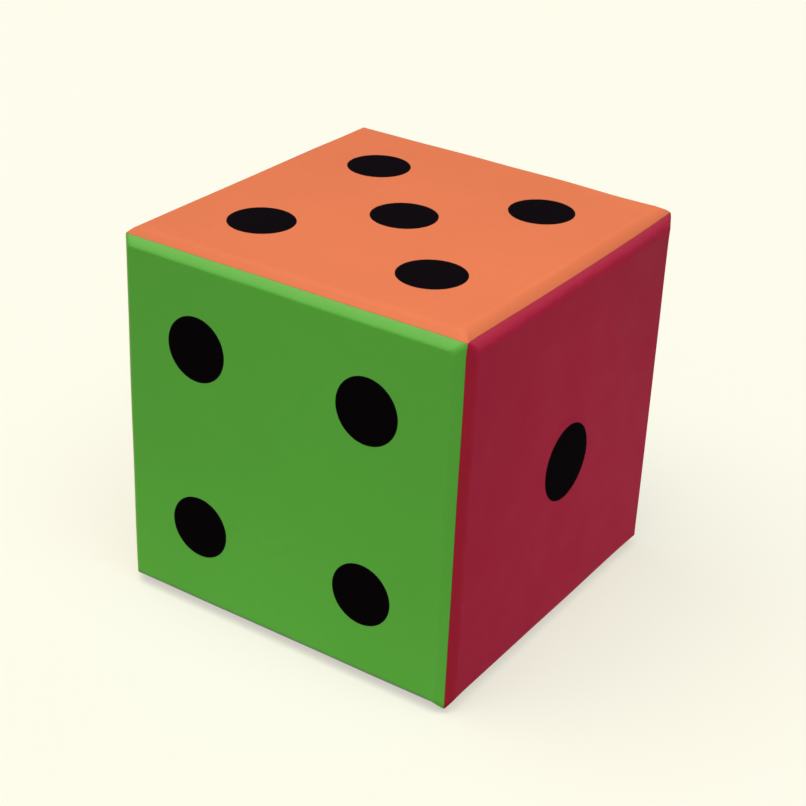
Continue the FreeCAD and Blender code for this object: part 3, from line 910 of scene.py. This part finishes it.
for face, side in ((ZIP_EDGE[0], 1), (ZIP_EDGE[1], -1)):
    t, dd = TAPE_T, TAPE_WRAP / R2
    turn, turn_in = flat_in - deep, flat_in - t * R2 - (deep - t)
    top = deep - 0.02
    sec = [(TAPE_IN + 0.05, top - 0.05), (TAPE_IN + 0.4, top), (2.6, top), (5.0, top), (turn - 0.4, top), (turn + 0.2, top - 0.35),
           (turn + dd, top - dd), (turn + dd - t / R2, top - dd - t / R2), (turn_in, top - t + 0.04), (5.0, top - t + 0.04),
           (2.6, top - t + 0.04), (TAPE_IN + 0.4, top - t + 0.04), (TAPE_IN, top - t / 2)]
    V, F = sweep([(side * a, b) for a, b in sec], np.linspace(-TAPE_HALF, TAPE_HALF, 135))
    ob = make("woven_tape_" + face, V, outward(V, F), MAT_TAPE)
    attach(ob, "die"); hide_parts("zip_tape_" + face)

    # coil of nylon monofilament with its filler cord
    turns = int((2 * CHAIN_HALF - 1.0) / PITCH)
    per = 14
    k = np.arange(turns * per + 1)
    phi = 2 * math.pi * k / per
    ww = -CHAIN_HALF + 0.5 + (0.0 if side == 1 else PITCH / 2) + PITCH * k / per
    ww = ww - 0.28 * PITCH / (2 * math.pi) * np.sin(phi) * 1.6
    uu = 1.05 - 1.08 * np.cos(phi)
    nn = deep + 0.95 + 0.62 * np.sin(phi)
    coil = tube(ze.at(side * uu, nn, np.clip(ww, -CHAIN_HALF, CHAIN_HALF)), 0.29, 6, normal=ze.w)
    cord_w = np.linspace(-CHAIN_HALF, CHAIN_HALF, 160)
    core = tube(ze.at(side * 1.15, deep + 0.9 + 0.02 * np.sin(cord_w * 3), cord_w), 0.36, 8, normal=ze.n)
    V, F = gather([(coil[0], outward(*coil)), (core[0], outward(*core))])
    ob = make("coil_teeth_" + face, V, F, MAT_NYLON)
    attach(ob, "die"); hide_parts("zip_chain_" + face)

    # line of stitching through the cover and the tape
    rng = np.random.default_rng(300 + side)
    parts = []
    for w in np.arange(-ZIP_HALF - 1.0, ZIP_HALF + 1.0, 3.5):
        j = rng.normal(0, 0.06, 3)
        t = np.array([-1, -0.93, -0.75, -0.4, 0, 0.4, 0.75, 0.93, 1.0])
        lift = np.array([-0.55, -0.22, 0.0, 0.07, 0.08, 0.07, 0.0, -0.22, -0.55])
        path = ze.at(side * (5.2 + j[0] + 0.05 * t), lift - 0.10, w + j[1] + 1.62 * t)
        parts.append(tube(path, np.array([0.16, 0.2, 0.23, 0.245, 0.245, 0.245, 0.23, 0.2, 0.16]), 8, normal=ze.n))
    V, F = gather([(v, outward(v, f)) for v, f in parts])
    ob = make("topstitch_" + face, V, F, MAT_THREAD)
    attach(ob, "die"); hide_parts("zip_stitching_" + face)


def cast(name, parts, material, voxel, rounds):
    """Joins overlapping closed parts into one skin with softly rounded edges, like a die casting."""
    V, F = gather([(v, outward(v, f)) for v, f in parts])
    ob = make(name, V, F, material)
    r = ob.modifiers.new("skin", "REMESH")
    r.mode = "VOXEL"
    r.voxel_size = voxel * 0.001
    s = ob.modifiers.new("soften", "SMOOTH")
    s.factor, s.iterations = 0.5, rounds
    dg = bpy.context.evaluated_depsgraph_get()
    mesh = bpy.data.meshes.new_from_object(ob.evaluated_get(dg), depsgraph=dg)
    ob.modifiers.clear()
    ob.data = mesh
    mesh.polygons.foreach_set("use_smooth", [True] * len(mesh.polygons))
    if not mesh.materials:
        mesh.materials.append(material)
    return ob


def plan_plate(outline, n0, n1):
    """(w, u) outline between two heights."""
    o = np.array(outline, float)
    m = len(o)
    V = np.concatenate([ze.at(o[:, 1], np.full(m, n0), o[:, 0]), ze.at(o[:, 1], np.full(m, n1), o[:, 0])])
    k = np.arange(m)
    k1 = (k + 1) % m
    F = np.stack([k, k1, k1 + m, k + m], axis=-1).tolist() + [k[::-1].tolist(), (k + m).tolist()]
    return V, F


def side_plate(outline, u0, u1):
    """(w, n) outline between two places across the zip."""
    o = np.array(outline, float)
    m = len(o)
    V = np.concatenate([ze.at(np.full(m, u0), o[:, 1], o[:, 0]), ze.at(np.full(m, u1), o[:, 1], o[:, 0])])
    k = np.arange(m)
    k1 = (k + 1) % m
    F = np.stack([k, k1, k1 + m, k + m], axis=-1).tolist() + [k[::-1].tolist(), (k + m).tolist()]
    return V, F


def zip_box(u0, u1, n0, n1, w0, w1):
    return plan_plate([(w0, u0), (w0, u1), (w1, u1), (w1, u0)], n0, n1)


lo, hi = (np.array([float(x) for x in p]) * 1000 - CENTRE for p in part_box("zip_slider_body"))
s0, L = (lo[2] + hi[2]) / 2, (hi[2] - lo[2]) / 2
LO, HI = -0.25, 0.8
BACK_HI = deep - TAPE_T - 0.15
BACK_LO = BACK_HI - 1.0
W = 3.05
outline = [(s0 - L, -1.2), (s0 - L + 0.35, -2.2), (s0 - L + 1.4, -2.95), (s0 - L + 2.2, -W), (s0 + L - 3.4, -W), (s0 + L - 1.5, -2.9),
           (s0 + L - 0.4, -2.6), (s0 + L, -2.1), (s0 + L, 2.1), (s0 + L - 0.4, 2.6), (s0 + L - 1.5, 2.9), (s0 + L - 3.4, W),
           (s0 - L + 2.2, W), (s0 - L + 1.4, 2.95), (s0 - L + 0.35, 2.2), (s0 - L, 1.2)]
bits = [plan_plate(outline, LO, HI), plan_plate(outline, BACK_LO, BACK_HI)]
# side walls between the plates, and a pressed rib along each side of the top plate
for sgn_ in (1, -1):
    a, b = sorted((sgn_ * 2.4, sgn_ * (W - 0.1)))
    bits.append(zip_box(a, b, deep + 0.2, LO + 0.3, s0 - L + 1.8, s0 + L - 3.4))
    bits.append(zip_box(a, b, BACK_LO + 0.1, BACK_HI + 0.12, s0 - L + 1.8, s0 + L - 3.4))
    a, b = sorted((sgn_ * 2.15, sgn_ * 2.6))
    bits.append(zip_box(a, b, HI - 0.2, HI + 0.16, s0 - L + 2.0, s0 + L - 2.4))
bits.append(zip_box(-0.35, 0.35, BACK_LO + 0.1, HI - 0.1, s0 - L + 0.4, s0 - L + 2.6))
# crown: a bowed loop that the tab swings on, built as a swept bar
t = np.linspace(0, math.pi, 25)
bow_w = s0 - 2.75 * np.cos(t)
bow_n = HI - 0.25 + 2.55 * np.sin(t) ** 0.72
bow = tube(ze.at(np.zeros_like(t), bow_n, bow_w), 0.5, 10, normal=ze.u)
bits.append(bow)
slider = cast("slider_body", bits, MAT_METAL, 0.13, 3)
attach(slider, "zip_slider"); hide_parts("zip_slider_body")

# pull tab: a ring frame that widens to a ribbed paddle with a hole
AX = HI + 1.0
TL = 22.0
half_w = [(0.0, 2.0), (-0.6, 2.2), (-5.0, 2.2), (-6.2, 2.45), (-7.6, 2.85), (-TL + 2.6, 2.85), (-TL + 1.2, 2.55), (-TL + 0.4, 1.9), (-TL + 0.05, 0.9)]
right_side = [(s0 + a, b) for a, b in half_w]
left_side = [(s0 + a, -b) for a, b in half_w][::-1]


def ring_plate(outer, inner, n0, n1):
    """Plate with one hole: both outlines have the same number of points and start at the same side."""
    o, i = np.array(outer, float), np.array(inner, float)
    m = len(o)
    rows = [(o, n0), (o, n1), (i, n1), (i, n0)]
    V = np.concatenate([ze.at(q[:, 1], np.full(m, h), q[:, 0]) for q, h in rows])
    k = np.arange(m)
    k1 = (k + 1) % m
    F = []
    for r_ in range(4):
        s_, n_ = r_ * m, ((r_ + 1) % 4) * m
        F += np.stack([s_ + k, s_ + k1, n_ + k1, n_ + k], axis=-1).tolist()
    return V, F


def oval(cw, half_len, half_wid, m, power=2.0):
    a = np.linspace(0, 2 * math.pi, m, endpoint=False)
    c, s = np.cos(a), np.sin(a)
    return [(cw + half_len * np.sign(x) * abs(x) ** (2 / power), half_wid * np.sign(y) * abs(y) ** (2 / power)) for x, y in zip(c, s)]


m_ = 48
frame_ring = ring_plate(oval(s0 - 2.9, 3.4, 2.2, m_, 3.4), oval(s0 - 2.45, 2.05, 1.1, m_, 3.0), AX - 0.5, AX + 0.5)
hole = (s0 - TL + 4.6)
paddle_mid = (s0 - 5.6 + s0 - TL) / 2
paddle_half = (TL - 5.6) / 2
outer = oval(paddle_mid, paddle_half, 2.85, m_, 5.0)
inner = oval(hole, 1.5, 1.5, m_)
paddle = ring_plate(outer, inner, AX - 0.5, AX + 0.5)
rim_ring = ring_plate(oval(hole, 2.15, 2.15, m_), oval(hole, 1.5, 1.5, m_), AX - 0.62, AX + 0.62)
ribs = [zip_box(-1.7, 1.7, AX - 0.64, AX + 0.64, s0 - 8.4 - 1.5 * i, s0 - 8.4 - 1.5 * i + 0.55) for i in range(4)]
pivot = tube(ze.at(np.linspace(-2.0, 2.0, 9), AX, s0), 0.5, 12, normal=ze.n)
tab = cast("pull_tab", [frame_ring, paddle, rim_ring, pivot, *ribs], MAT_METAL, 0.13, 2)
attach(tab, "pull_tab"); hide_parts("zip_pull_tab")

for place_ in ("lower", "upper"):
    node = "zip_stop_" + place_
    lo, hi = (np.array([float(x) for x in p]) * 1000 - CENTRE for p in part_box(node))
    w0, w1 = lo[2], hi[2]
    body = plan_plate([(w0, -2.2), (w1, -2.2), (w1, 2.2), (w0, 2.2)], deep, deep + 1.5)
    cap = plan_plate([(w0 + 0.25, -1.8), (w1 - 0.25, -1.8), (w1 - 0.25, 1.8), (w0 + 0.25, 1.8)], deep + 1.3, deep + 1.85)
    back = plan_plate([(w0, -2.2), (w1, -2.2), (w1, 2.2), (w0, 2.2)], deep - TAPE_T - 0.5, deep - TAPE_T + 0.05)
    post = plan_plate([(w0, -0.5), (w1, -0.5), (w1, 0.5), (w0, 0.5)], deep - TAPE_T, deep + 0.2)
    ob = cast("end_stop_" + place_, [body, cap, back, post], MAT_METAL, 0.13, 3)
    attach(ob, "die"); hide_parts(node)


# ----------------------------------------------------------------- foam core
def foam_plank(i):
    node = "foam_plank_%d" % (i + 1)
    lo, hi = (np.array([float(x) for x in p]) * 1000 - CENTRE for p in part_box(node))
    inner, k_in = HALF - COVER_T - 0.5, 2 * SEAM - R2 * (COVER_T + 1.0) - 1.2
    bm = bmesh.new()
    bmesh.ops.create_cube(bm, size=2.0)
    for v in bm.verts:
        v.co = Vector((v.co.x * inner, v.co.y * inner, lo[2] + 0.15 if v.co.z < 0 else hi[2] - 0.15))

    def trim(normal, dist):
        bmesh.ops.bisect_plane(bm, geom=bm.verts[:] + bm.edges[:] + bm.faces[:], plane_co=Vector(normal) * dist,
                               plane_no=Vector(normal), clear_outer=True)
        bmesh.ops.holes_fill(bm, edges=[e for e in bm.edges if e.is_boundary])

    for names in EDGES:
        a, b = FACES[names[0]][0], FACES[names[1]][0]
        nrm = (a + b) / R2
        cut = k_in / R2 if names != ZIP_EDGE else 2 * SEAM / R2 - 4.7
        trim(nrm, cut)
    bmesh.ops.recalc_face_normals(bm, faces=bm.faces[:])
    mesh = bpy.data.meshes.new("foam_%d" % (i + 1))
    bm.to_mesh(mesh)
    bm.free()
    mesh.transform(Matrix.Scale(0.001, 4) @ Matrix.Translation(Vector(CENTRE)))
    ob = bpy.data.objects.new("foam_board_%d" % (i + 1), mesh)
    scene.collection.objects.link(ob)
    r = ob.modifiers.new("cells", "REMESH")
    r.mode, r.voxel_size = "VOXEL", 0.007
    dg = bpy.context.evaluated_depsgraph_get()
    mesh = bpy.data.meshes.new_from_object(ob.evaluated_get(dg), depsgraph=dg)
    ob.modifiers.clear()
    ob.data = mesh
    # saw-cut surfaces are never quite flat: shrink by a little uneven amount
    co = np.empty(len(mesh.vertices) * 3)
    nr = np.empty(len(mesh.vertices) * 3)
    mesh.vertices.foreach_get("co", co)
    mesh.vertex_normals.foreach_get("vector", nr)
    co, nr = co.reshape(-1, 3), nr.reshape(-1, 3)
    wave = Waves(500 + i, 30.0)(co * 1000)
    co = co - nr * (0.00025 + 0.00012 * np.clip(wave, -1.5, 1.5))[:, None]
    mesh.vertices.foreach_set("co", co.reshape(-1))
    mesh.polygons.foreach_set("use_smooth", [True] * len(mesh.polygons))
    mesh.materials.clear()
    mesh.materials.append(MAT_FOAM)
    mesh.update()
    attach(ob, "die"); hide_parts(node)
    return ob


boards = [foam_plank(i) for i in range(6)]


# --------------------------------------------------------------- floor, light
def floor_stuff():
    """Opal studio table, part of its light coming from below, so shadows on it stay faint."""
    n = Nodes("studio_floor")
    co = n.coord()
    c = n.mix(n.span(n.noise(co, 0.8, 3.0), 0.3, 0.7, 0, 1), (0.238, 0.2345, 0.2035), (0.242, 0.2385, 0.2065))
    grain = n.noise(co, 240.0, 3.0)
    n.bsdf.inputs["Emission Color"].default_value = (1.0, 0.983, 0.853, 1.0)
    n.bsdf.inputs["Emission Strength"].default_value = 0.56
    return n.out(c, 0.95, n.bump(grain, 0.03, 0.0003), 0.0)


bm = bmesh.new()
bmesh.ops.create_circle(bm, cap_ends=True, radius=60.0, segments=96)
mesh = bpy.data.meshes.new("floor")
bm.to_mesh(mesh)
bm.free()
floor = bpy.data.objects.new("floor", mesh)
mesh.materials.append(floor_stuff())
scene.collection.objects.link(floor)

FILL_HORIZON, FILL_SKY = 0.98, 0.25
for i, (towards, energy) in enumerate((((-0.34, -0.30, 1.0), 2.64), ((0.36, -0.26, 1.0), 2.63))):
    sun = bpy.data.objects.new("softbox_%d" % (i + 1), bpy.data.lights.new("softbox_%d" % (i + 1), "SUN"))
    sun.data.energy = energy
    sun.data.angle = math.radians(52.0)
    sun.rotation_euler = Vector(towards).to_track_quat("Z", "Y").to_euler()
    scene.collection.objects.link(sun)

world = bpy.data.worlds.new("studio")
scene.world = world
world.use_nodes = True
wt = world.node_tree
wt.nodes.clear()
tc = wt.nodes.new("ShaderNodeTexCoord")
sep = wt.nodes.new("ShaderNodeSeparateXYZ")
wt.links.new(tc.outputs["Generated"], sep.inputs[0])
mr = wt.nodes.new("ShaderNodeMapRange")
mr.interpolation_type = "SMOOTHSTEP"
mr.inputs["From Min"].default_value, mr.inputs["From Max"].default_value = 0.03, 0.30
mr.inputs["To Min"].default_value, mr.inputs["To Max"].default_value = FILL_HORIZON, FILL_SKY
wt.links.new(sep.outputs["Z"], mr.inputs["Value"])
bg = wt.nodes.new("ShaderNodeBackground")
bg.inputs["Color"].default_value = (1.0, 0.985, 0.86, 1.0)
wt.links.new(mr.outputs["Result"], bg.inputs["Strength"])
wo = wt.nodes.new("ShaderNodeOutputWorld")
wt.links.new(bg.outputs[0], wo.inputs[0])

bpy.context.view_layer.update()
